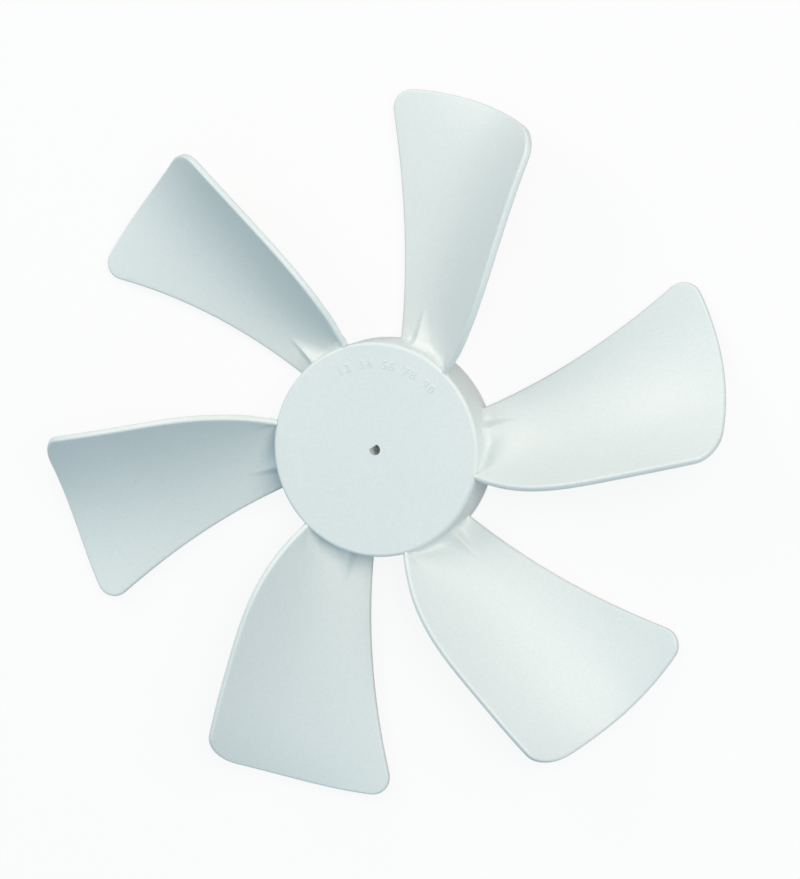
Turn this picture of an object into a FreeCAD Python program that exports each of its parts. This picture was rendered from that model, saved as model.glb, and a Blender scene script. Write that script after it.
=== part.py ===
"""Axial fan impeller, moulded in one piece: curved, twisted blades round a shallow cup-shaped hub.

Millimetres. Z is the shaft's axis and points out of the hub's closed face. z = 0 is the plane of the hub's
open back rim, on which the impeller rests. The first blade's reference line lies along X. Seen from the closed
face the impeller turns anticlockwise, so each blade's low leading edge is on its anticlockwise side (+Y on the
first blade), and its high trailing edge is on the other side.
"""

import FreeCAD, Part
import math
import os

# Overall size
TIP_RADIUS = 76.2
BLADE_COUNT = 6

# Hub cup, closed on top
HUB_RADIUS = 22.9
HUB_DRAFT = 1.6
HUB_DEPTH = 10.7
HUB_WALL = 1.8
HUB_PLATE = 2.0
HUB_EDGE_ROUND = 0.5
HUB_INSIDE_BEVEL = 0.6

# Boss inside the cup, bored for a round shaft with one flat
BOSS_RADIUS = 4.0
BOSS_RECESS = 0.7
SHAFT_BORE_RADIUS = 1.19
SHAFT_FLAT_DISTANCE = 0.72
SHAFT_FLAT_ANGLE = 50.3
BORE_MOUTH_CHAMFER = 0.1

# Stiffening ribs under the hub's plate, from the boss to the wall
RIB_COUNT = 6
RIB_THICKNESS = 1.2
RIB_HEIGHT = 3.5

# Blade skin
BLADE_THICKNESS = 1.5
BLADE_EDGE_BEVEL = 0.3
LEADING_CORNER_RADIUS = 4.0
TRAILING_CORNER_RADIUS = 5.5

# Leading edge: distance from the reference line and height above the rim plane, at the root, mid-span and tip
LEADING_ROOT_Y = 3.4
LEADING_MIDDLE_Y = 11.4
LEADING_TIP_Y = 25.2
LEADING_ROOT_Z = 1.9
LEADING_MIDDLE_Z = 1.7
LEADING_TIP_Z = 0.8

# Trailing edge: it leaves the hub just under its face, swings out to run parallel to the reference line, and
# rises to a crest above the face
TRAILING_ROOT_Y = -10.1
TRAILING_OUTER_Y = -14.9
TRAILING_STRAIGHT_FROM = 51.6
TRAILING_ROOT_DROP = 1.0
TRAILING_CREST_RISE = 8.8
TRAILING_CREST_AT = 55.1
TRAILING_POWER = 3

# Camber: slope of each section at its two edges in degrees, and how far that slope is felt, as shares of the
# section's chord
LEADING_SLOPE = 5.0
TRAILING_SLOPE = 50.5
LEADING_REACH = 0.41
TRAILING_REACH = 0.43

# Gusset on the front of each blade root: its foot on the hub and its point on the blade, as shares of the
# chord from the leading edge
GUSSET_LENGTH = 7.5
GUSSET_HEIGHT = 2.1
GUSSET_STEEP_SIDE = 0.145
GUSSET_RIDGE = 0.21
GUSSET_SLOPED_SIDE = 0.46
GUSSET_POINT = 0.21

# The blade surface is lofted through this many sections and runs on this far past its trimmed outline
SECTION_COUNT = 10
SURFACE_MARGIN = 3.0
SURFACE_MARGIN_SHARE = 0.08
OFFSET_TOLERANCE = 0.0001

ORIGIN = FreeCAD.Vector(0, 0, 0)
UP = FreeCAD.Vector(0, 0, 1)

# The trailing edge meets the hub at this station, and the blade runs on into the hub's wall from there
ROOT_X = math.sqrt(HUB_RADIUS**2 - TRAILING_ROOT_Y**2)
ROOT_END_RADIUS = HUB_RADIUS - HUB_WALL / 2
FIRST_X = ROOT_X - 1.5 * HUB_WALL
LAST_X = TIP_RADIUS + SURFACE_MARGIN
PLATE_UNDERSIDE = HUB_DEPTH - HUB_PLATE


def parabola(root, middle, tip, x):
    """Value at station x of the parabola through a root, a mid-span and a tip value."""
    u = (x - ROOT_X) / (TIP_RADIUS - ROOT_X)
    return root * (1 - u) * (1 - 2 * u) + middle * 4 * u * (1 - u) + tip * u * (2 * u - 1)


def leading_edge(x):
    y = parabola(LEADING_ROOT_Y, LEADING_MIDDLE_Y, LEADING_TIP_Y, x)
    z = parabola(LEADING_ROOT_Z, LEADING_MIDDLE_Z, LEADING_TIP_Z, x)
    return FreeCAD.Vector(x, y, z)


def trailing_edge(x):
    inward = max(TRAILING_STRAIGHT_FROM - x, 0) / (TRAILING_STRAIGHT_FROM - ROOT_X)
    y = TRAILING_OUTER_Y + (TRAILING_ROOT_Y - TRAILING_OUTER_Y) * inward**TRAILING_POWER
    crest = HUB_DEPTH + TRAILING_CREST_RISE
    root = HUB_DEPTH - TRAILING_ROOT_DROP
    away = abs(TRAILING_CREST_AT - x) / (TRAILING_CREST_AT - ROOT_X)
    return FreeCAD.Vector(x, y, crest + (root - crest) * away**TRAILING_POWER)


def section_line(x):
    """The blade's middle line at station x, nearly flat at the leading edge and curling up behind it."""
    start = leading_edge(x)
    end = trailing_edge(x)
    chord = start.distanceToPoint(end)
    leading = math.radians(LEADING_SLOPE)
    trailing = math.radians(TRAILING_SLOPE)
    after_start = FreeCAD.Vector(0, -math.cos(leading), math.sin(leading)) * (LEADING_REACH * chord)
    before_end = FreeCAD.Vector(0, math.cos(trailing), -math.sin(trailing)) * (TRAILING_REACH * chord)
    line = Part.BezierCurve()
    line.setPoles([start, start + after_start, end + before_end, end])
    return line


def stations():
    step = (LAST_X - FIRST_X) / (SECTION_COUNT - 1)
    return [FIRST_X + step * i for i in range(SECTION_COUNT)]


def middle_surface():
    """The blade's middle surface, a little wider and longer than its outline."""
    wires = []
    for x in stations():
        line = section_line(x)
        line.segment(-SURFACE_MARGIN_SHARE, 1 + SURFACE_MARGIN_SHARE)
        wires.append(Part.Wire([line.toShape()]))
    return Part.makeLoft(wires, False, False).Faces[0]


def plan_curve(edge_at, z):
    """An edge of the blade seen from above, at height z."""
    points = [edge_at(x) for x in stations()]
    curve = Part.BSplineCurve()
    curve.interpolate([FreeCAD.Vector(p.x, p.y, z) for p in points])
    return curve.toShape()


def outline_prism():
    """The blade's outline seen from above, with its round tip and corners, as a block that trims it."""
    bottom = -HUB_DEPTH
    height = 3 * HUB_DEPTH + TRAILING_CREST_RISE
    leading = plan_curve(leading_edge, bottom)
    trailing = plan_curve(trailing_edge, bottom)
    inner = Part.makeLine(trailing.Vertexes[0].Point, leading.Vertexes[0].Point)
    outer = Part.makeLine(leading.Vertexes[-1].Point, trailing.Vertexes[-1].Point)
    plan = Part.Face(Part.Wire([inner, leading, outer, trailing]))
    tip = Part.makeCylinder(TIP_RADIUS, height, FreeCAD.Vector(0, 0, bottom))
    # the cylinder's seam is turned away from the blade
    tip.rotate(ORIGIN, UP, 180)
    block = plan.extrude(UP * height).common(tip).Solids[0]
    for side, radius in ((1, LEADING_CORNER_RADIUS), (-1, TRAILING_CORNER_RADIUS)):
        block = block.makeFillet(radius, corner_edges(block, side, height))
    return block


def corner_edges(block, side, height):
    """The upright edge of the block at the blade's tip, on the leading (1) or the trailing (-1) side."""
    found = []
    for edge in block.Edges:
        middle = edge.CenterOfMass
        upright = abs(edge.BoundBox.ZLength - height) < 0.01 and edge.BoundBox.XLength < 0.01
        if upright and middle.x > TIP_RADIUS / 2 and middle.y * side > 0:
            found.append(edge)
    return found


def blade():
    """One blade of even thickness with bevelled edges, whose root ends inside the hub's wall."""
    trimmed = middle_surface().common(outline_prism()).Faces[0]
    front = trimmed.makeOffsetShape(BLADE_THICKNESS / 2, OFFSET_TOLERANCE)
    skin = front.makeOffsetShape(-BLADE_THICKNESS, OFFSET_TOLERANCE, fill=True).toNurbs().Solids[0]
    broad_faces = sorted(skin.Faces, key=lambda face: face.Area)[-2:]
    rims = [edge for face in broad_faces for edge in face.Edges if edge.CenterOfMass.x > ROOT_X]
    skin = skin.makeChamfer(BLADE_EDGE_BEVEL, rims)
    core = Part.makeCylinder(ROOT_END_RADIUS, 4 * HUB_DEPTH, FreeCAD.Vector(0, 0, -HUB_DEPTH))
    return skin.cut(core).Solids[0]


def gusset():
    """The small wedge between the hub's wall and the blade's front, steep on its leading side."""
    foot_line = section_line(ROOT_END_RADIUS)
    point_line = section_line(HUB_RADIUS + GUSSET_LENGTH)
    point = point_line.value(GUSSET_POINT)
    steep = foot_line.value(GUSSET_STEEP_SIDE)
    sloped = foot_line.value(GUSSET_SLOPED_SIDE)
    ridge = foot_line.value(GUSSET_RIDGE) + UP * (GUSSET_HEIGHT + BLADE_THICKNESS / 2)
    sides = [(steep, sloped, ridge), (point, ridge, sloped), (point, steep, ridge), (point, sloped, steep)]
    faces = [Part.Face(Part.makePolygon([a, b, c, a])) for a, b, c in sides]
    return Part.makeSolid(Part.makeShell(faces))


def cup_radius(z):
    """Outer radius of the hub's wall at height z: it widens towards the open back."""
    return HUB_RADIUS + (HUB_DEPTH - z) * math.tan(math.radians(HUB_DRAFT))


def circles_at(shape, radius, z):
    """The shape's full circles of one radius at one height."""
    found = []
    for edge in shape.Edges:
        round_edge = isinstance(edge.Curve, Part.Circle)
        if round_edge and abs(edge.Curve.Radius - radius) < 0.001 and abs(edge.CenterOfMass.z - z) < 0.001:
            found.append(edge)
    return found


def hub():
    """The cup with its boss and ribs."""
    outside = Part.makeCone(cup_radius(0), HUB_RADIUS, HUB_DEPTH)
    inside_rim = cup_radius(0) - HUB_WALL
    inside_top = cup_radius(PLATE_UNDERSIDE) - HUB_WALL
    inside = Part.makeCone(inside_rim, inside_top, PLATE_UNDERSIDE)
    boss = Part.makeCylinder(BOSS_RADIUS, HUB_DEPTH - BOSS_RECESS, FreeCAD.Vector(0, 0, BOSS_RECESS))
    outside = outside.makeFillet(HUB_EDGE_ROUND, circles_at(outside, HUB_RADIUS, HUB_DEPTH))
    cup = outside.cut(inside).fuse(boss)
    corners = circles_at(cup, inside_top, PLATE_UNDERSIDE) + circles_at(cup, BOSS_RADIUS, PLATE_UNDERSIDE)
    cup = cup.makeChamfer(HUB_INSIDE_BEVEL, corners)
    ribs = [rib(360 * i / RIB_COUNT) for i in range(RIB_COUNT)]
    return cup.fuse(ribs)


def rib(angle):
    """One upright web from inside the boss to inside the wall, hanging from the plate."""
    length = HUB_RADIUS - HUB_WALL / 2 - BOSS_RADIUS / 2
    height = RIB_HEIGHT + HUB_PLATE / 2
    corner = FreeCAD.Vector(BOSS_RADIUS / 2, -RIB_THICKNESS / 2, PLATE_UNDERSIDE - RIB_HEIGHT)
    web = Part.makeBox(length, RIB_THICKNESS, height, corner)
    web.rotate(ORIGIN, UP, angle)
    return web


def shaft_hole():
    """The D-shaped bore, right through the boss and the plate, with a small chamfer at both mouths."""
    through = HUB_DEPTH + 2 * BORE_MOUTH_CHAMFER
    hole = Part.makeCylinder(SHAFT_BORE_RADIUS, through, FreeCAD.Vector(0, 0, -BORE_MOUTH_CHAMFER))
    wide = SHAFT_BORE_RADIUS + BORE_MOUTH_CHAMFER
    for mouth, inwards in ((HUB_DEPTH, -1), (BOSS_RECESS, 1)):
        start = FreeCAD.Vector(0, 0, mouth)
        hole = hole.fuse(Part.makeCone(wide, SHAFT_BORE_RADIUS, BORE_MOUTH_CHAMFER, start, UP * inwards))
    keep = Part.makeBox(4 * wide, 4 * wide, 3 * HUB_DEPTH)
    keep.translate(FreeCAD.Vector(SHAFT_FLAT_DISTANCE - 4 * wide, -2 * wide, -HUB_DEPTH))
    keep.rotate(ORIGIN, UP, SHAFT_FLAT_ANGLE)
    return hole.common(keep)


def impeller():
    one_blade = blade()
    one_gusset = gusset()
    added = []
    for i in range(BLADE_COUNT):
        for piece in (one_blade, one_gusset):
            turned = piece.copy()
            turned.rotate(ORIGIN, UP, 360 * i / BLADE_COUNT)
            added.append(turned)
    return hub().fuse(added).cut(shaft_hole()).removeSplitter()


os.makedirs("parts", exist_ok=True)
result = impeller()
result.exportStep("parts/fan_impeller.step")
print("valid", result.isValid(), "solids", len(result.Solids), "volume", round(result.Volume, 1))
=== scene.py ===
import math

import bmesh
import bpy
import numpy as np
from mathutils import Matrix, Vector


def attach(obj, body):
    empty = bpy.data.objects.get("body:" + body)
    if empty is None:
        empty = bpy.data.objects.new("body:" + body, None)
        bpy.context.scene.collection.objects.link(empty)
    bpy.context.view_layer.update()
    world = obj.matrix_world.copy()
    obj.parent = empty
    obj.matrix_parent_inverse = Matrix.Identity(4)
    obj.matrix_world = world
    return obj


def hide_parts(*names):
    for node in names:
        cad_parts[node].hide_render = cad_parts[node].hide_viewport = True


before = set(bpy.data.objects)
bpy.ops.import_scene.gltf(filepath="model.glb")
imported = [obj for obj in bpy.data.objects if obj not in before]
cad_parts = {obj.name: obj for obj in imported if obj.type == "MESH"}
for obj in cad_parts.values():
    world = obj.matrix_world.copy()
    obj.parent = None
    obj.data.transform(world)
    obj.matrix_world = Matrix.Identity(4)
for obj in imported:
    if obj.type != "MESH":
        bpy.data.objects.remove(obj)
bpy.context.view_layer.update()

scene = bpy.context.scene
scene.view_settings.view_transform = "Standard"


# Hub: a shallow cup with a flat closed face, a drafted wall and an open back, of white plastic, moulded in
# one with the blades. Its boss carries the D-shaped bore that is pushed onto the motor's shaft, and ribs
# stiffen the plate behind.
HUB_RADIUS = 0.0229
HUB_DEPTH = 0.0107
HUB_DRAFT = math.radians(1.6)
HUB_WALL = 0.0018
HUB_PLATE = 0.0020
HUB_EDGE_ROUND = 0.0008
HUB_RIM_ROUND = 0.0003
HUB_INSIDE_ROUND = 0.0006
HUB_SEGMENTS = 180
FACE_RINGS = (0.006, 0.014)
WALL_LEVELS = (0.0075, 0.005, 0.0025)
UNDERSIDE_RINGS = (0.012, 0.006)
EDGE_ARC_STEPS = 6
RIM_ARC_STEPS = 3
INSIDE_ARC_STEPS = 4


def wall_radius(z):
    """Outer radius of the hub at height z: the drafted wall, then the round of the face's edge."""
    z = np.asarray(z, float)
    wall = HUB_RADIUS + (HUB_DEPTH - z) * math.tan(HUB_DRAFT)
    above = np.clip(z - (HUB_DEPTH - HUB_EDGE_ROUND), 0, HUB_EDGE_ROUND)
    return wall - HUB_EDGE_ROUND + np.sqrt(HUB_EDGE_ROUND**2 - above**2)


def arc(centre, radius, start, end, steps):
    """Points of a profile's round corner, from one angle to another in degrees."""
    angles = np.radians(np.linspace(start, end, steps + 1))
    return [(centre[0] + radius * math.cos(a), centre[1] + radius * math.sin(a)) for a in angles]


def bridge(bm, first, second, closed=True):
    """Faces between two rows of corners. A row of one corner is a point in which all its faces meet."""
    count = max(len(first), len(second))
    for i in range(count if closed else count - 1):
        k = (i + 1) % count
        near = (first[i % len(first)], second[i % len(second)])
        far = (second[k % len(second)], first[k % len(first)])
        bm.faces.new(list(dict.fromkeys(near + far)))


def solid_from(name, bm):
    """A new object in the scene from a closed mesh, with its faces turned outwards."""
    bmesh.ops.recalc_face_normals(bm, faces=bm.faces)
    mesh = bpy.data.meshes.new(name)
    bm.to_mesh(mesh)
    bm.free()
    solid = bpy.data.objects.new(name, mesh)
    scene.collection.objects.link(solid)
    return solid


def turned_solid(name, profile, segments):
    """A closed solid of revolution from profile points (radius, height) that start and end on the axis."""
    bm = bmesh.new()
    rings = []
    for radius, height in profile:
        if radius == 0:
            rings.append([bm.verts.new((0, 0, height))])
            continue
        angles = [2 * math.pi * i / segments for i in range(segments)]
        rings.append([bm.verts.new((radius * math.cos(a), radius * math.sin(a), height)) for a in angles])
    for inner, outer in zip(rings, rings[1:]):
        bridge(bm, inner, outer)
    return solid_from(name, bm)


rim_outside = float(wall_radius(0))
rim_inside = rim_outside - HUB_WALL
plate_underside = HUB_DEPTH - HUB_PLATE
plate_middle = HUB_DEPTH - HUB_PLATE / 2
inside_top = float(wall_radius(plate_underside)) - HUB_WALL
face_edge = (HUB_RADIUS - HUB_EDGE_ROUND, HUB_DEPTH - HUB_EDGE_ROUND)
inside_corner = (inside_top - HUB_INSIDE_ROUND, plate_underside - HUB_INSIDE_ROUND)
cup_profile = [(radius, HUB_DEPTH) for radius in (0, *FACE_RINGS)]
cup_profile += arc(face_edge, HUB_EDGE_ROUND, 90, 0, EDGE_ARC_STEPS)
cup_profile += [(float(wall_radius(z)), z) for z in WALL_LEVELS]
cup_profile += arc((rim_outside - HUB_RIM_ROUND, HUB_RIM_ROUND), HUB_RIM_ROUND, 0, -90, RIM_ARC_STEPS)
cup_profile += arc((rim_inside + HUB_RIM_ROUND, HUB_RIM_ROUND), HUB_RIM_ROUND, -90, -180, RIM_ARC_STEPS)
cup_profile += arc(inside_corner, HUB_INSIDE_ROUND, 0, 90, INSIDE_ARC_STEPS)
cup_profile += [(radius, plate_underside) for radius in (*UNDERSIDE_RINGS, 0)]
cup = turned_solid("cup", cup_profile, HUB_SEGMENTS)

BOSS_RADIUS = 0.0040
BOSS_RECESS = 0.0007
BOSS_EDGE_ROUND = 0.0003
BOSS_END_RING = 0.002
BOSS_SEGMENTS = 72
boss_edge = (BOSS_RADIUS - BOSS_EDGE_ROUND, BOSS_RECESS + BOSS_EDGE_ROUND)
boss_profile = [(0, BOSS_RECESS), (BOSS_END_RING, BOSS_RECESS)]
boss_profile += arc(boss_edge, BOSS_EDGE_ROUND, -90, 0, INSIDE_ARC_STEPS)
boss_profile += [(BOSS_RADIUS, plate_underside), (BOSS_RADIUS, plate_middle), (0, plate_middle)]
boss = turned_solid("boss", boss_profile, BOSS_SEGMENTS)

RIB_COUNT = 6
RIB_THICKNESS = 0.0012
RIB_HEIGHT = 0.0035
RIB_EDGE_ROUND = 0.0003
RIB_DRAFT = 0.00006


def rib(angle):
    """An upright web from inside the boss to inside the wall, with drafted sides and a round lower edge."""
    bottom = plate_underside - RIB_HEIGHT
    half = RIB_THICKNESS / 2 - RIB_DRAFT
    side = [(half + RIB_DRAFT, plate_middle)]
    side += arc((half - RIB_EDGE_ROUND, bottom + RIB_EDGE_ROUND), RIB_EDGE_ROUND, 0, -90, INSIDE_ARC_STEPS)
    section = side + [(-y, z) for y, z in reversed(side)]
    bm = bmesh.new()
    ends = []
    for x in (BOSS_RADIUS / 2, inside_top + HUB_WALL / 2):
        ends.append([bm.verts.new((x, y, z)) for y, z in section])
    bridge(bm, *ends)
    for end in ends:
        bm.faces.new(end)
    bmesh.ops.rotate(bm, verts=bm.verts, cent=(0, 0, 0), matrix=Matrix.Rotation(angle, 3, "Z"))
    return solid_from("rib", bm)


ribs = [rib(2 * math.pi * i / RIB_COUNT) for i in range(RIB_COUNT)]

SHAFT_BORE_RADIUS = 0.00119
SHAFT_FLAT_DISTANCE = 0.00072
SHAFT_FLAT_ANGLE = math.radians(50.3)
BORE_MOUTH_CHAMFER = 0.0001
BORE_STEPS = 40


def bore_section(grown):
    """The bore's D outline, grown by a margin."""
    radius = SHAFT_BORE_RADIUS + grown
    half = math.acos((SHAFT_FLAT_DISTANCE + grown) / radius)
    angles = np.linspace(half, 2 * math.pi - half, BORE_STEPS) + SHAFT_FLAT_ANGLE
    return [(radius * math.cos(a), radius * math.sin(a)) for a in angles]


def bore_cutter():
    """The shape that is cut out of the boss and plate, a little larger at its two mouths."""
    mouth = BORE_MOUTH_CHAMFER
    levels = [(BOSS_RECESS - mouth, 2 * mouth), (BOSS_RECESS + mouth, 0)]
    levels += [(HUB_DEPTH - mouth, 0), (HUB_DEPTH + mouth, 2 * mouth)]
    bm = bmesh.new()
    loops = [[bm.verts.new((x, y, z)) for x, y in bore_section(grown)] for z, grown in levels]
    for lower, upper in zip(loops, loops[1:]):
        bridge(bm, lower, upper)
    for end in (loops[0], loops[-1]):
        bm.faces.new(end)
    return solid_from("bore", bm)


# Blades: six broad, thin paddles of white plastic, moulded in one with the hub. Each is nearly flat at its
# low leading edge and curls up to its high trailing edge, and it springs from the hub's wall with a small
# fillet and a wedge-shaped gusset in front.
TIP_RADIUS = 0.0762
BLADE_COUNT = 6
BLADE_THICKNESS = 0.0015
BLADE_EDGE_ROUND = 0.0005
CORNER_RADIUS = {"leading": 0.0040, "trailing": 0.0055}

# The leading edge's place and height at the root, at mid-span and at the tip
LEADING_Y = (0.0034, 0.0114, 0.0252)
LEADING_Z = (0.0019, 0.0017, 0.0008)

# The trailing edge's place and height, which both ease off along a power curve
TRAILING_ROOT_Y = -0.0101
TRAILING_OUTER_Y = -0.0149
TRAILING_STRAIGHT_FROM = 0.0516
TRAILING_ROOT_BELOW_FACE = 0.0010
TRAILING_CREST_ABOVE_FACE = 0.0088
TRAILING_CREST_AT = 0.0551
TRAILING_POWER = 3

# The camber's slopes at the two edges, at the root and at the tip, and their reach as shares of the chord
LEADING_SLOPE = (math.radians(18), math.radians(3))
TRAILING_SLOPE = (math.radians(60), math.radians(53))
LEADING_REACH = 0.31
TRAILING_REACH = 0.49

# Rounds of the three searches for a place on the blade, and the steps over which slopes are measured
CAMBER_ROUNDS = 12
EDGE_ROUNDS = 40
CORNER_ROUNDS = 60
CAMBER_STEP = 0.00002
EDGE_STEP = 0.00001

root_x = math.sqrt(HUB_RADIUS**2 - TRAILING_ROOT_Y**2)
trailing_root_z = HUB_DEPTH - TRAILING_ROOT_BELOW_FACE
trailing_crest_z = HUB_DEPTH + TRAILING_CREST_ABOVE_FACE


def parabola(values, x):
    """Value at station x of the parabola through a root, a mid-span and a tip value."""
    u = (x - root_x) / (TIP_RADIUS - root_x)
    return values[0] * (1 - u) * (1 - 2 * u) + values[1] * 4 * u * (1 - u) + values[2] * u * (2 * u - 1)


def leading_edge(x):
    """Place across the blade and height of its leading edge at station x."""
    return parabola(LEADING_Y, x), parabola(LEADING_Z, x)


def trailing_edge(x):
    """Place across the blade and height of its trailing edge at station x."""
    inward = np.maximum(TRAILING_STRAIGHT_FROM - x, 0) / (TRAILING_STRAIGHT_FROM - root_x)
    y = TRAILING_OUTER_Y + (TRAILING_ROOT_Y - TRAILING_OUTER_Y) * inward**TRAILING_POWER
    away = np.abs(TRAILING_CREST_AT - x) / (TRAILING_CREST_AT - root_x)
    return y, trailing_crest_z + (trailing_root_z - trailing_crest_z) * away**TRAILING_POWER


EDGE_OF = {"leading": leading_edge, "trailing": trailing_edge}
OUTWARD_OF = {"leading": 1, "trailing": -1}


def bezier(poles, t):
    """Value of the curve with four poles at t."""
    s = 1 - t
    return poles[0] * s**3 + 3 * poles[1] * s**2 * t + 3 * poles[2] * s * t**2 + poles[3] * t**3


def bezier_slope(poles, t):
    """How fast the curve with four poles changes at t."""
    s = 1 - t
    first, second, third = (poles[k + 1] - poles[k] for k in range(3))
    return 3 * (first * s**2 + 2 * second * s * t + third * t**2)


def middle_height(x, y):
    """Height of the blade's middle surface over a point of its plan."""
    start_y, start_z = leading_edge(x)
    end_y, end_z = trailing_edge(x)
    chord = np.hypot(start_y - end_y, start_z - end_z)
    after = LEADING_REACH * chord
    before = TRAILING_REACH * chord
    outwards = (x - root_x) / (TIP_RADIUS - root_x)
    slope = LEADING_SLOPE[0] + (LEADING_SLOPE[1] - LEADING_SLOPE[0]) * outwards
    rise = TRAILING_SLOPE[0] + (TRAILING_SLOPE[1] - TRAILING_SLOPE[0]) * outwards
    across = (start_y, start_y - np.cos(slope) * after, end_y + np.cos(rise) * before, end_y)
    upward = (start_z, start_z + np.sin(slope) * after, end_z - np.sin(rise) * before, end_z)
    t = (start_y - y) / (start_y - end_y)
    for _ in range(CAMBER_ROUNDS):
        t = t - (bezier(across, t) - y) / bezier_slope(across, t)
    return bezier(upward, t)


def unit(vectors):
    """The vectors at a length of one."""
    return vectors / np.linalg.norm(vectors, axis=-1, keepdims=True)


def middle_points(radius, angle):
    """Points of the middle surface and its upward normals, from plan polar coordinates."""
    x = radius * np.cos(angle)
    y = radius * np.sin(angle)
    step = CAMBER_STEP
    slope_x = (middle_height(x + step, y) - middle_height(x - step, y)) / (2 * step)
    slope_y = (middle_height(x, y + step) - middle_height(x, y - step)) / (2 * step)
    normals = np.stack([-slope_x, -slope_y, np.ones_like(x)], -1)
    points = np.stack([x, y, middle_height(x, y)], -1)
    return points, unit(normals)


def edge_x(side, radius):
    """Station at which the leading or trailing edge is at a given radius in plan."""
    x = np.array(radius, float)
    for _ in range(EDGE_ROUNDS):
        x = np.sqrt(radius**2 - EDGE_OF[side](x)[0] ** 2)
    return x


def corner_circle(side):
    """Plan radius and angle of the tip corner's centre, and the radius at which the corner starts."""
    rho = CORNER_RADIUS[side]
    edge = EDGE_OF[side]
    low, high = TIP_RADIUS / 2, TIP_RADIUS
    for _ in range(CORNER_ROUNDS):
        x = (low + high) / 2
        y = float(edge(np.array(x))[0])
        change = edge(np.array(x + EDGE_STEP))[0] - edge(np.array(x - EDGE_STEP))[0]
        slope = float(change / (2 * EDGE_STEP))
        across = np.array([-slope, 1.0]) / math.hypot(slope, 1)
        centre = np.array([x, y]) - OUTWARD_OF[side] * rho * across
        if np.hypot(*centre) < TIP_RADIUS - rho:
            low = x
        else:
            high = x
    return np.hypot(*centre), math.atan2(centre[1], centre[0]), math.hypot(x, y)


def outline_angle(side, radius):
    """Plan angle of the blade's outline at each radius: along the edge, then round the tip corner."""
    centre_radius, centre_angle, corner_start = corner_circle(side)
    x = edge_x(side, np.minimum(radius, corner_start))
    along = np.arctan2(EDGE_OF[side](x)[0], x)
    cosine = (radius**2 + centre_radius**2 - CORNER_RADIUS[side] ** 2) / (2 * radius * centre_radius)
    opening = np.arccos(np.clip(cosine, -1, 1))
    return np.where(radius < corner_start, along, centre_angle + OUTWARD_OF[side] * opening)


# The root's fillet on the blade's front, its back and its two rims
FILLET_FRONT = 0.0015
FILLET_BACK = 0.0007
FILLET_RIM = 0.0003
FILLET_EASE = 0.12
FILLET_ANGLES = np.radians([12, 25, 40, 55, 70, 90])

# Rows across the blade: close together in the root fillet, the gusset and the tip corners
FIRST_CLOSE_ROW = 0.00035
CLOSE_ROW_SPACING = 0.00042
CLOSE_ROWS_END = 0.0325
MIDDLE_ROWS = 30
CORNER_ROWS = 12
CORNER_ROWS_REACH = 0.0066
COLUMNS = 48
RIM_LEVELS = 6


def row_radii():
    """Plan radius of each row, from the hub's wall to the tip."""
    fillet = HUB_RADIUS + FILLET_FRONT * (1 - np.cos(FILLET_ANGLES))
    close = np.arange(HUB_RADIUS + FILLET_FRONT + FIRST_CLOSE_ROW, CLOSE_ROWS_END, CLOSE_ROW_SPACING)
    corner_from = TIP_RADIUS - CORNER_ROWS_REACH
    middle = np.linspace(CLOSE_ROWS_END, corner_from, MIDDLE_ROWS)
    quarter = np.radians(np.linspace(0, 90, CORNER_ROWS + 1)[1:])
    corner = TIP_RADIUS - (TIP_RADIUS - corner_from) * (1 - np.sin(quarter))
    return np.concatenate([fillet, close, middle, corner])


GUSSET_LENGTH = 0.0075
GUSSET_HEIGHT = 0.0021
GUSSET_STEEP_Y = 0.0010
GUSSET_RIDGE_Y = -0.0002
GUSSET_SLOPED_Y = -0.0040
GUSSET_POINT_Y = 0.0003
GUSSET_SOFTNESS = 0.0008


def plane_height(corners, x, y):
    """Height over a point of the plane through three corners."""
    a, b, c = (np.array(p) for p in corners)
    normal = np.cross(b - a, c - a)
    return a[2] - (normal[0] * (x - a[0]) + normal[1] * (y - a[1])) / normal[2]


def soft_least(a, b, softness):
    """The smaller of two values, with the crease between them rounded."""
    h = np.clip(0.5 + 0.5 * (b - a) / softness, 0, 1)
    return b + (a - b) * h - softness * h * (1 - h)


def gusset_rise(x, y, front_z):
    """How far the gusset, a wedge with one steep and one sloped face, raises the blade's front."""
    def on_front(px, py, rise):
        return px, py, float(middle_height(np.array(px), np.array(py))) + BLADE_THICKNESS / 2 + rise

    point = on_front(HUB_RADIUS + GUSSET_LENGTH, GUSSET_POINT_Y, 0)
    ridge = on_front(HUB_RADIUS, GUSSET_RIDGE_Y, GUSSET_HEIGHT)
    steep = on_front(HUB_RADIUS, GUSSET_STEEP_Y, 0)
    sloped = on_front(HUB_RADIUS, GUSSET_SLOPED_Y, 0)
    steep_face = plane_height((point, steep, ridge), x, y)
    sloped_face = plane_height((point, sloped, ridge), x, y)
    wedge = soft_least(steep_face, sloped_face, GUSSET_SOFTNESS) - front_z
    # where the wedge lies below the blade's front, it adds nothing
    return -soft_least(-wedge, np.zeros_like(wedge), GUSSET_SOFTNESS)


def outline_ring(radii):
    """The outline up the leading side, along the tip and down the trailing side: plan polar points set in
    by the edge's round, and the directions that point out of the blade there."""
    lead = outline_angle("leading", radii)
    trail = outline_angle("trailing", radii)
    tip = lead[-1] + (trail[-1] - lead[-1]) * np.linspace(0, 1, COLUMNS + 1)
    radius = np.concatenate([radii, np.full(COLUMNS - 1, radii[-1]), radii[::-1]])
    ring, normals = middle_points(radius, np.concatenate([lead, tip[1:-1], trail[::-1]]))
    along = np.zeros_like(ring)
    along[1:-1] = ring[2:] - ring[:-2]
    along[0] = ring[1] - ring[0]
    along[-1] = ring[-1] - ring[-2]
    outward = unit(np.cross(normals, unit(along)))
    inset = ring - outward * BLADE_EDGE_ROUND
    polar = np.stack([np.hypot(inset[:, 0], inset[:, 1]), np.arctan2(inset[:, 1], inset[:, 0])], -1)
    return polar, outward


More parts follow.
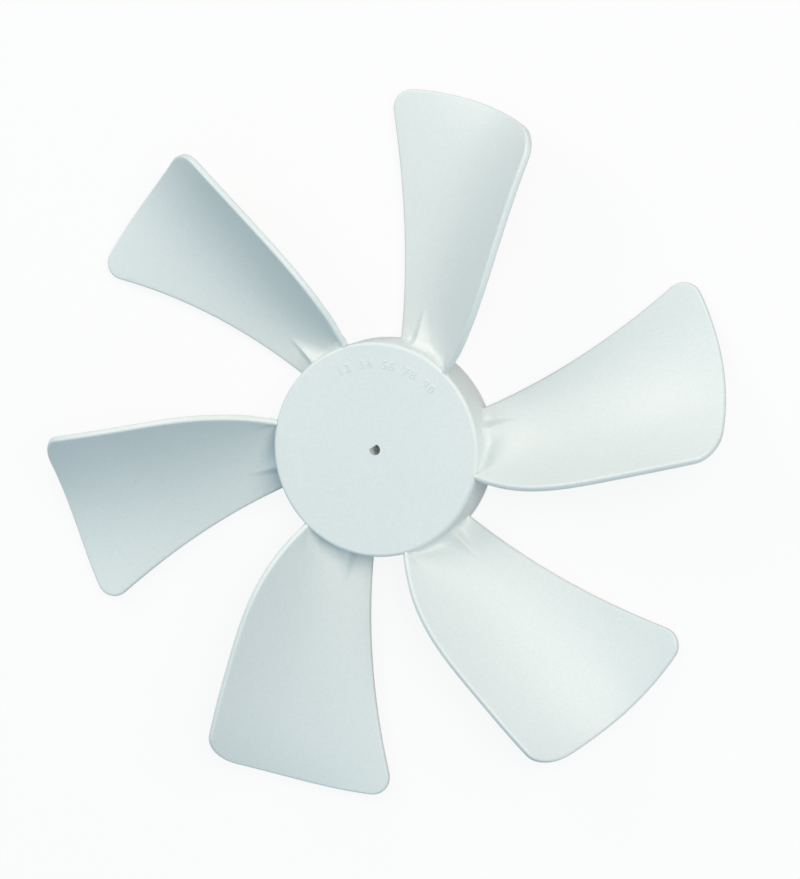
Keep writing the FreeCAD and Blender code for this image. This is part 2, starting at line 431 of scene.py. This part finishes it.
def rim_levels(points, normals, outs):
    """The points and directions of the blade's rounded rim, level by level from front to back."""
    flat = BLADE_THICKNESS / 2 - BLADE_EDGE_ROUND
    quarter = np.radians(np.linspace(0, 90, RIM_LEVELS // 2 + 1)[1:])
    levels = []
    for side, angles in ((1, quarter), (-1, quarter[::-1])):
        for a in angles:
            lift = side * (flat + BLADE_EDGE_ROUND * math.cos(a))
            out = BLADE_EDGE_ROUND * math.sin(a)
            directions = normals * (side * math.cos(a)) + outs * math.sin(a)
            levels.append((points + normals * lift + outs * out, directions))
    return levels


def blade_loops(radii):
    """The blade's closed cross-loops from root to tip, their directions, and the levels of the tip's rim.
    A loop runs over the front, round the trailing rim, over the back and round the leading rim."""
    rows = len(radii)
    polar, outward = outline_ring(radii)
    lead = polar[:rows]
    trail = polar[rows + COLUMNS - 1:][::-1]
    share = np.linspace(0, 1, COLUMNS + 1)
    grid = lead[:, None] + (trail - lead)[:, None] * share[None, :, None]
    middle, normal = middle_points(grid[..., 0], grid[..., 1])
    front = middle + normal * (BLADE_THICKNESS / 2)
    front[..., 2] += gusset_rise(front[..., 0], front[..., 1], front[..., 2])
    back = middle - normal * (BLADE_THICKNESS / 2)
    lead_rim = rim_levels(middle[:, 0], normal[:, 0], outward[:rows])
    trail_rim = rim_levels(middle[:, -1], normal[:, -1], outward[rows + COLUMNS - 1:][::-1])
    tip_rim = rim_levels(middle[-1], normal[-1], outward[rows - 1:rows + COLUMNS])
    positions = [front] + [p[:, None] for p, _ in trail_rim]
    positions += [back[:, ::-1]] + [p[:, None] for p, _ in lead_rim[::-1]]
    directions = [normal] + [d[:, None] for _, d in trail_rim]
    directions += [-normal[:, ::-1]] + [d[:, None] for _, d in lead_rim[::-1]]
    return np.concatenate(positions, 1), np.concatenate(directions, 1), [p for p, _ in tip_rim]


def eased(share):
    """A share from 0 to 1 that leaves and arrives gently."""
    return share * share * (3 - 2 * share)


def fillet_sizes():
    """The root fillet's size at each point of a loop: full on the front and back, small round the rims."""
    share = np.linspace(0, 1, COLUMNS + 1)
    inside = eased(np.clip(np.minimum(share, 1 - share) / FILLET_EASE, 0, 1))
    front = FILLET_RIM + (FILLET_FRONT - FILLET_RIM) * inside
    back = FILLET_RIM + (FILLET_BACK - FILLET_RIM) * inside
    rim = np.full(RIM_LEVELS, FILLET_RIM)
    return np.concatenate([front, rim, back[::-1], rim])


# How the root meets the hub: the wall's pull reaches four fillets out, the fillet stays below the hub's
# face, and two more loops carry the blade into the wall
PULL_REACH = 4
FACE_CLEARANCE = 0.0001
LEAST_UPWARD = 0.05
SUNK_STEP = 0.0004
SUNK_BELOW_FACE = 0.00015
SUNK_BEHIND_WALL = 0.0003
DEEP_SHARE = 0.975


def join_hub(radii, loops, directions, sizes):
    """Bends the loops next to the hub into a fillet on its wall, and adds two loops inside the wall."""
    loops = loops.copy()
    for i, s in enumerate(radii - HUB_RADIUS):
        if s > PULL_REACH * FILLET_FRONT:
            break
        points = loops[i]
        radius = np.hypot(points[:, 0], points[:, 1])
        pull = np.clip((PULL_REACH * FILLET_FRONT - s) / ((PULL_REACH - 1) * FILLET_FRONT), 0, 1)
        outward = np.stack([points[:, 0] / radius, points[:, 1] / radius, np.zeros(len(radius))], -1)
        across = unit(directions[i] - (directions[i] * outward).sum(-1, keepdims=True) * outward)
        # each point's own fillet size squeezes the shared row spacing
        angle = np.arccos(1 - np.clip(s / FILLET_FRONT, 0, 1))
        rise = sizes * (1 - math.sin(angle)) if s < FILLET_FRONT else np.zeros(len(radius))
        room = (HUB_DEPTH - FACE_CLEARANCE - points[:, 2]) / np.maximum(across[:, 2], LEAST_UPWARD)
        rise = np.where(across[:, 2] > LEAST_UPWARD, np.minimum(rise, np.maximum(room, 0)), rise)
        moved = points + across * rise[:, None]
        target = wall_radius(moved[:, 2]) + (s if s > FILLET_FRONT else s * sizes / FILLET_FRONT)
        present = np.hypot(moved[:, 0], moved[:, 1])
        wanted = present + eased(pull) * (target - present)
        moved[:, :2] *= (wanted / present)[:, None]
        loops[i] = moved
    sunk = loops[0] + unit(loops[0] - loops[1]) * SUNK_STEP
    sunk[:, 2] = np.minimum(sunk[:, 2], HUB_DEPTH - SUNK_BELOW_FACE)
    radius = np.hypot(sunk[:, 0], sunk[:, 1])
    sunk[:, :2] *= ((wall_radius(sunk[:, 2]) - SUNK_BEHIND_WALL) / radius)[:, None]
    deep = sunk.copy()
    deep[:, :2] *= DEEP_SHARE
    return np.concatenate([deep[None], sunk[None], loops], 0)


# No two thin blades cool quite alike: each is swept, flattened and drawn in a little, most at its tip, as in
# the photograph. Sweep and flattening are in degrees, lift and growth in metres.
BLADE_BENDS = [
    {"sweep": -0.6, "flatten": 0.5, "lift": 0.0001, "growth": -0.0002},
    {"sweep": 1.7, "flatten": 2.0, "lift": 0.0004, "growth": -0.0007},
    {"sweep": -0.2, "flatten": 5.7, "lift": -0.0008, "growth": -0.0007},
    {"sweep": 0.7, "flatten": 2.8, "lift": 0.0001, "growth": -0.0001},
    {"sweep": 0.0, "flatten": 0.8, "lift": -0.0001, "growth": -0.0001},
    {"sweep": 0.2, "flatten": 0.0, "lift": 0.0, "growth": -0.0001},
]


def bent(points, sweep, flatten, lift, growth):
    """The points of a blade, bent as one blade in the photograph is: nothing at the hub, most at the tip."""
    x, y, z = (points[..., k] for k in range(3))
    span = np.clip((np.hypot(x, y) - HUB_RADIUS) / (TIP_RADIUS - HUB_RADIUS), 0, 1)
    share = span**2
    centre_y = (leading_edge(x)[0] + trailing_edge(x)[0]) / 2
    centre_z = middle_height(x, centre_y)
    roll = math.radians(flatten) * share
    rolled_y = centre_y + (y - centre_y) * np.cos(roll) - (z - centre_z) * np.sin(roll)
    rolled_z = centre_z + (y - centre_y) * np.sin(roll) + (z - centre_z) * np.cos(roll) + lift * share
    turn = math.radians(sweep) * share
    stretch = 1 + growth * share / TIP_RADIUS
    swept_x = (x * np.cos(turn) - rolled_y * np.sin(turn)) * stretch
    swept_y = (x * np.sin(turn) + rolled_y * np.cos(turn)) * stretch
    return np.stack([swept_x, swept_y, rolled_z], -1)


def blade_solid(turn, bend):
    """One closed blade, bent a little and turned to its place round the hub."""
    radii = row_radii()
    loops, directions, tip_rim = blade_loops(radii)
    loops = bent(join_hub(radii, loops, directions, fillet_sizes()), **bend)
    tip_rim = [bent(row, **bend) for row in tip_rim]
    bm = bmesh.new()
    spin = Matrix.Rotation(turn, 3, "Z")
    rings = [[bm.verts.new(spin @ Vector(p)) for p in loop] for loop in loops]
    for inner, outer in zip(rings, rings[1:]):
        bridge(bm, inner, outer)

    # where the parts of a loop start: the trailing rim, the back and the leading rim
    trail_start = COLUMNS + 1
    back_start = trail_start + RIM_LEVELS
    lead_start = back_start + COLUMNS + 1

    # the tip's rim closes the outer end, level by level
    last = rings[-1]
    levels = [last[:trail_start]]
    for k, row in enumerate(tip_rim):
        inside = [bm.verts.new(spin @ Vector(p)) for p in row[1:-1]]
        levels.append([last[lead_start + RIM_LEVELS - 1 - k]] + inside + [last[trail_start + k]])
    levels.append(last[back_start:lead_start][::-1])
    for upper, lower in zip(levels, levels[1:]):
        bridge(bm, upper, lower, closed=False)

    # flat faces close the end inside the hub
    first = rings[0]
    back = first[back_start:lead_start][::-1]
    bridge(bm, first[:trail_start], back, closed=False)
    bm.faces.new([first[0]] + first[lead_start:][::-1] + [back[0]])
    bm.faces.new(first[COLUMNS:back_start] + [back[-1]])
    return solid_from("blade", bm)


blades = [blade_solid(2 * math.pi * i / BLADE_COUNT, bend) for i, bend in enumerate(BLADE_BENDS)]


# Impeller: hub, boss, ribs and blades leave the mould as one piece of white plastic, so they become one
# closed skin, with the bore cut through it. The plastic is satin and faintly cloudy, with marks that run
# outwards from the hub, where it flowed into the mould, a fine grain and a few specks.
SHARP_ANGLE = math.radians(32)


def combined(name, base, added, removed):
    """The union of a base and the added solids, less the removed one, as a new object."""
    group = bpy.data.collections.new(name + "_added")
    for solid in added:
        group.objects.link(solid)
    join = base.modifiers.new("join", "BOOLEAN")
    join.operation = "UNION"
    join.operand_type = "COLLECTION"
    join.collection = group
    join.solver = "EXACT"
    drill = base.modifiers.new("drill", "BOOLEAN")
    drill.operation = "DIFFERENCE"
    drill.object = removed
    drill.solver = "EXACT"
    bpy.context.view_layer.update()
    graph = bpy.context.evaluated_depsgraph_get()
    mesh = bpy.data.meshes.new_from_object(base.evaluated_get(graph))
    mesh.name = name
    for solid in [base, removed] + added:
        bpy.data.objects.remove(solid)
    bpy.data.collections.remove(group)
    whole = bpy.data.objects.new(name, mesh)
    scene.collection.objects.link(whole)
    return whole


impeller = combined("impeller", cup, [boss] + ribs + blades, bore_cutter())
impeller.data.shade_smooth()
impeller.data.set_sharp_from_angle(angle=SHARP_ANGLE)
steady = impeller.modifiers.new("steady", "WEIGHTED_NORMAL")
steady.keep_sharp = True

CLOUD_COLOURS = ((0.758, 0.817, 0.802, 1), (0.786, 0.837, 0.820, 1))
CLOUD_SCALE = 38
CLOUD_DETAIL = 3
CLOUD_SHARE = 0.5
FLOW_TURNS = 14
FLOW_ALONG = 22
FLOW_DETAIL = 4
FLOW_SHARE = 0.5
GRAIN_SCALE = 1900
GRAIN_DARKEST = 0.955
GRAIN_BUMP_SHARE = 0.4
PEEL_SCALE = 620
FINE_DETAIL = 2
NOISE_SPAN = (0.3, 0.7)
SPECK_COLOUR = (0.60, 0.67, 0.68, 1)
SPECK_SCALE = 150
SPECK_SIZE = 0.018
SPECK_STRENGTH = 0.6
ROUGHNESS_RANGE = (0.36, 0.47)
PLASTIC_IOR = 1.49
BUMP_DEPTH = 0.00003
BUMP_STRENGTH = 0.35


def feed(links, value, socket):
    """Links a socket to another, or sets it to a number or colour."""
    if isinstance(value, bpy.types.NodeSocket):
        links.new(value, socket)
    else:
        socket.default_value = value


def calculated(nodes, links, operation, *values):
    """A math node's result over numbers or sockets."""
    node = nodes.new("ShaderNodeMath")
    node.operation = operation
    for value, socket in zip(values, node.inputs):
        feed(links, value, socket)
    return node.outputs[0]


def noise(nodes, links, vector, scale, detail):
    """A noise texture's value over a vector."""
    texture = nodes.new("ShaderNodeTexNoise")
    texture.inputs["Scale"].default_value = scale
    texture.inputs["Detail"].default_value = detail
    links.new(vector, texture.inputs["Vector"])
    return texture.outputs["Fac"]


def ranged(nodes, links, value, start, end, low, high):
    """A value between start and end, mapped to run from low to high."""
    mapped = nodes.new("ShaderNodeMapRange")
    for name, number in (("From Min", start), ("From Max", end), ("To Min", low), ("To Max", high)):
        mapped.inputs[name].default_value = number
    links.new(value, mapped.inputs["Value"])
    return mapped.outputs["Result"]


def mixed(nodes, links, factor, first, second, blend="MIX"):
    """A colour mix of two colours or sockets, by a factor that is a number or a socket."""
    mix = nodes.new("ShaderNodeMix")
    mix.data_type = "RGBA"
    mix.blend_type = blend
    for name, value in (("Factor_Float", factor), ("A_Color", first), ("B_Color", second)):
        feed(links, value, next(s for s in mix.inputs if s.identifier == name))
    return next(s for s in mix.outputs if s.identifier == "Result_Color")


def vector_node(nodes, links, operation, vector):
    """A vector math node over one vector."""
    node = nodes.new("ShaderNodeVectorMath")
    node.operation = operation
    links.new(vector, node.inputs[0])
    return node


def flow_vector(nodes, links, position):
    """Coordinates that change fast round the shaft's axis and slowly away from it."""
    parts = nodes.new("ShaderNodeSeparateXYZ")
    links.new(position, parts.inputs[0])
    flat = nodes.new("ShaderNodeCombineXYZ")
    for axis in ("X", "Y"):
        links.new(parts.outputs[axis], flat.inputs[axis])
    length = vector_node(nodes, links, "LENGTH", flat.outputs[0])
    heading = vector_node(nodes, links, "NORMALIZE", flat.outputs[0])
    spread = vector_node(nodes, links, "SCALE", heading.outputs[0])
    spread.inputs["Scale"].default_value = FLOW_TURNS
    lifted = nodes.new("ShaderNodeCombineXYZ")
    outwards = calculated(nodes, links, "MULTIPLY", length.outputs["Value"], FLOW_ALONG)
    links.new(outwards, lifted.inputs["Z"])
    together = vector_node(nodes, links, "ADD", spread.outputs[0])
    links.new(lifted.outputs[0], together.inputs[1])
    return together.outputs[0]


def white_plastic():
    """The moulding's one material."""
    material = bpy.data.materials.new("white_plastic")
    material.use_nodes = True
    nodes = material.node_tree.nodes
    links = material.node_tree.links
    shader = nodes["Principled BSDF"]
    position = nodes.new("ShaderNodeTexCoord").outputs["Object"]
    clouds = noise(nodes, links, position, CLOUD_SCALE, CLOUD_DETAIL)
    flow = noise(nodes, links, flow_vector(nodes, links, position), 1, FLOW_DETAIL)
    grain = noise(nodes, links, position, GRAIN_SCALE, FINE_DETAIL)
    peel = noise(nodes, links, position, PEEL_SCALE, FINE_DETAIL)

    cloudy = ranged(nodes, links, clouds, *NOISE_SPAN, 0, CLOUD_SHARE)
    patchy = calculated(nodes, links, "MULTIPLY_ADD", flow, FLOW_SHARE, cloudy)
    colour = mixed(nodes, links, patchy, *CLOUD_COLOURS)
    tone = ranged(nodes, links, grain, *NOISE_SPAN, GRAIN_DARKEST, 1)
    shade = nodes.new("ShaderNodeCombineColor")
    for channel in ("Red", "Green", "Blue"):
        links.new(tone, shade.inputs[channel])
    colour = mixed(nodes, links, 1.0, colour, shade.outputs[0], "MULTIPLY")
    cells = nodes.new("ShaderNodeTexVoronoi")
    cells.inputs["Scale"].default_value = SPECK_SCALE
    links.new(position, cells.inputs["Vector"])
    speck = ranged(nodes, links, cells.outputs["Distance"], SPECK_SIZE, SPECK_SIZE * 2, SPECK_STRENGTH, 0)
    colour = mixed(nodes, links, speck, colour, SPECK_COLOUR)
    links.new(colour, shader.inputs["Base Color"])

    links.new(ranged(nodes, links, flow, *NOISE_SPAN, *ROUGHNESS_RANGE), shader.inputs["Roughness"])
    shader.inputs["IOR"].default_value = PLASTIC_IOR

    height = calculated(nodes, links, "MULTIPLY_ADD", grain, GRAIN_BUMP_SHARE, peel)
    bump = nodes.new("ShaderNodeBump")
    bump.inputs["Strength"].default_value = BUMP_STRENGTH
    bump.inputs["Distance"].default_value = BUMP_DEPTH
    links.new(height, bump.inputs["Height"])
    links.new(bump.outputs["Normal"], shader.inputs["Normal"])
    return material


plastic = white_plastic()
impeller.data.materials.clear()
impeller.data.materials.append(plastic)
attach(impeller, "root")
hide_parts("fan_impeller")


# Numerals: plain figures that stand a little proud of the hub's face, in an arc near its edge. They are of
# the same plastic, and come out of hollows cut into the mould.
NUMERALS = "12 34 56 78 90"
NUMERAL_HEIGHT = 0.0017
NUMERAL_SHARE_OF_LINE = 0.7
NUMERAL_CURVE_STEPS = 5
NUMERAL_RISE = 0.00014
NUMERAL_SINK = 0.00010
NUMERAL_RING_RADIUS = 0.0182
NUMERAL_ARC = (math.radians(42), math.radians(-26))
SAME_POINT = 1e-7


def numeral_mesh(figure):
    """One figure, flat and centred, as thick as it rises and sinks."""
    curve = bpy.data.curves.new("figure", "FONT")
    curve.body = figure
    curve.size = NUMERAL_HEIGHT / NUMERAL_SHARE_OF_LINE
    curve.extrude = (NUMERAL_RISE + NUMERAL_SINK) / 2
    curve.align_x = "CENTER"
    curve.align_y = "CENTER"
    curve.resolution_u = NUMERAL_CURVE_STEPS
    writer = bpy.data.objects.new("figure", curve)
    scene.collection.objects.link(writer)
    bpy.context.view_layer.update()
    mesh = bpy.data.meshes.new_from_object(writer.evaluated_get(bpy.context.evaluated_depsgraph_get()))
    bpy.data.objects.remove(writer)
    bpy.data.curves.remove(curve)
    return mesh


def numeral_arc():
    """The figures as one mesh, each upright to its own radius."""
    bm = bmesh.new()
    lift = HUB_DEPTH + (NUMERAL_RISE - NUMERAL_SINK) / 2
    for i, figure in enumerate(NUMERALS):
        if figure == " ":
            continue
        mesh = numeral_mesh(figure)
        angle = NUMERAL_ARC[0] + (NUMERAL_ARC[1] - NUMERAL_ARC[0]) * i / (len(NUMERALS) - 1)
        place = Matrix.Rotation(angle, 4, "Z") @ Matrix.Translation((NUMERAL_RING_RADIUS, 0, lift))
        mesh.transform(place @ Matrix.Rotation(-math.pi / 2, 4, "Z"))
        bm.from_mesh(mesh)
        bpy.data.meshes.remove(mesh)
    bmesh.ops.remove_doubles(bm, verts=bm.verts, dist=SAME_POINT)
    return solid_from("numerals", bm)


numerals = numeral_arc()
numerals.data.set_sharp_from_angle(angle=SHARP_ANGLE)
numerals.data.materials.append(plastic)
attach(numerals, "root")


# Camera: a long lens, 20.5 degrees off the shaft's axis as in the photograph, aimed at the middle of the
# hub's closed face. Its shift gives the photograph's own framing.
IMAGE_WIDTH = 800
IMAGE_HEIGHT = 879
CAMERA_TILT = math.radians(20.53)
CAMERA_AZIMUTH = math.radians(-54.15)
CAMERA_DISTANCE = 0.728
PICTURE_UP_AZIMUTH = math.radians(17.32)
PIXELS_PER_METRE = 4733.0
HUB_CENTRE_IN_PICTURE = (374.47, 449.94)
SENSOR_WIDTH = 36
CLIP_START = 0.01

towards_camera = Vector((
    math.sin(CAMERA_TILT) * math.cos(CAMERA_AZIMUTH),
    math.sin(CAMERA_TILT) * math.sin(CAMERA_AZIMUTH),
    math.cos(CAMERA_TILT),
))
picture_up = Vector((math.cos(PICTURE_UP_AZIMUTH), math.sin(PICTURE_UP_AZIMUTH), 0))
picture_right = picture_up.cross(towards_camera).normalized()
picture_up = towards_camera.cross(picture_right)
lens = bpy.data.cameras.new("camera")
camera = bpy.data.objects.new("camera", lens)
scene.collection.objects.link(camera)
aim = Vector((0, 0, HUB_DEPTH))
facing = Matrix((picture_right, picture_up, towards_camera)).transposed().to_4x4()
camera.matrix_world = Matrix.Translation(aim + towards_camera * CAMERA_DISTANCE) @ facing
lens.sensor_width = SENSOR_WIDTH
lens.lens = SENSOR_WIDTH * PIXELS_PER_METRE * CAMERA_DISTANCE / IMAGE_HEIGHT
lens.shift_x = (IMAGE_WIDTH / 2 - HUB_CENTRE_IN_PICTURE[0]) / IMAGE_HEIGHT
lens.shift_y = (HUB_CENTRE_IN_PICTURE[1] - IMAGE_HEIGHT / 2) / IMAGE_HEIGHT
lens.clip_start = CLIP_START
scene.camera = camera


# Light: two large soft studio lamps, one high on the right of the picture and one lower at its upper left,
# in an even cool surround. Where the camera or a reflection sees the surround itself, it is plain white.
LAMP_DISTANCE = 1.2
LAMP_SIZE = 0.9
LAMPS = [
    {"name": "right_lamp", "azimuth": 24, "height": 52, "power": 9.7, "colour": (1.0, 0.86, 0.76)},
    {"name": "left_lamp", "azimuth": 132, "height": 32, "power": 6.7, "colour": (1.0, 0.86, 0.75)},
]
SURROUND_COLOUR = (0.47, 0.80, 1.0, 1)
SURROUND_STRENGTH = 0.45
BACKDROP_COLOUR = (1, 1, 1, 1)
BACKDROP_STRENGTH = 1.0


def picture_direction(azimuth, height):
    """Unit vector to an azimuth in the picture (0 right, 90 up) and a height over the floor, in degrees."""
    turned = math.radians(azimuth) - (math.pi / 2 - PICTURE_UP_AZIMUTH)
    flat = math.cos(math.radians(height))
    return Vector((flat * math.cos(turned), flat * math.sin(turned), math.sin(math.radians(height))))


for lamp in LAMPS:
    light = bpy.data.lights.new(lamp["name"], "AREA")
    light.shape = "DISK"
    light.size = LAMP_SIZE
    light.energy = lamp["power"]
    light.color = lamp["colour"]
    holder = bpy.data.objects.new(lamp["name"], light)
    scene.collection.objects.link(holder)
    towards_lamp = picture_direction(lamp["azimuth"], lamp["height"])
    holder.location = towards_lamp * LAMP_DISTANCE
    holder.rotation_euler = towards_lamp.to_track_quat("Z", "Y").to_euler()


def seen_directly(nodes, links):
    """A value of 1 on rays from the camera, in reflections and through clear things, and 0 on the rest."""
    path = nodes.new("ShaderNodeLightPath")
    total = path.outputs["Is Camera Ray"]
    for name in ("Is Glossy Ray", "Is Transmission Ray"):
        add = nodes.new("ShaderNodeMath")
        add.operation = "ADD"
        add.use_clamp = True
        links.new(total, add.inputs[0])
        links.new(path.outputs[name], add.inputs[1])
        total = add.outputs[0]
    return total


def either_shader(nodes, links, factor, first, second, output):
    """Ends a tree in a mix of two shaders: the first where the factor is 0, the second where it is 1."""
    either = nodes.new("ShaderNodeMixShader")
    links.new(factor, either.inputs[0])
    links.new(first.outputs[0], either.inputs[1])
    links.new(second.outputs[0], either.inputs[2])
    links.new(either.outputs[0], nodes[output].inputs["Surface"])


def surround():
    """The studio round the object."""
    world = bpy.data.worlds.new("surround")
    world.use_nodes = True
    nodes = world.node_tree.nodes
    links = world.node_tree.links
    ambient = nodes["Background"]
    ambient.inputs["Color"].default_value = SURROUND_COLOUR
    ambient.inputs["Strength"].default_value = SURROUND_STRENGTH
    backdrop = nodes.new("ShaderNodeBackground")
    backdrop.inputs["Color"].default_value = BACKDROP_COLOUR
    backdrop.inputs["Strength"].default_value = BACKDROP_STRENGTH
    either_shader(nodes, links, seen_directly(nodes, links), ambient, backdrop, "World Output")
    return world


scene.world = surround()


# Floor: a plain sheet of matt white card, a hair below the hub's rim. Seen directly, it is mostly an even
# white, with a share of pale card that keeps the object's shadow. To all other light it is a darker card, so
# that it doesn't fill the shadows on the object from below.
FLOOR_HALF = 3.0
FLOOR_GAP = 0.00005
FLOOR_WHITE = 1.0
FLOOR_SHARE_OF_WHITE = 0.88
FLOOR_BOUNCE = (0.30, 0.30, 0.30, 1)
FLOOR_PALE = (0.85, 0.85, 0.85, 1)
FLOOR_ROUGHNESS = 0.9


def floor_white():
    """The floor's material."""
    material = bpy.data.materials.new("floor_white")
    material.use_nodes = True
    nodes = material.node_tree.nodes
    links = material.node_tree.links
    card = nodes["Principled BSDF"]
    seen = seen_directly(nodes, links)
    links.new(mixed(nodes, links, seen, FLOOR_BOUNCE, FLOOR_PALE), card.inputs["Base Color"])
    card.inputs["Roughness"].default_value = FLOOR_ROUGHNESS
    glow = nodes.new("ShaderNodeEmission")
    glow.inputs["Strength"].default_value = FLOOR_WHITE
    share = calculated(nodes, links, "MULTIPLY", seen, FLOOR_SHARE_OF_WHITE)
    either_shader(nodes, links, share, card, glow, "Material Output")
    return material


floor_plan = ((-1, -1), (1, -1), (1, 1), (-1, 1))
floor_corners = [(x * FLOOR_HALF, y * FLOOR_HALF, -FLOOR_GAP) for x, y in floor_plan]
floor_mesh = bpy.data.meshes.new("floor")
floor_mesh.from_pydata(floor_corners, [], [(0, 1, 2, 3)])
floor_mesh.materials.append(floor_white())
floor = bpy.data.objects.new("floor", floor_mesh)
scene.collection.objects.link(floor)
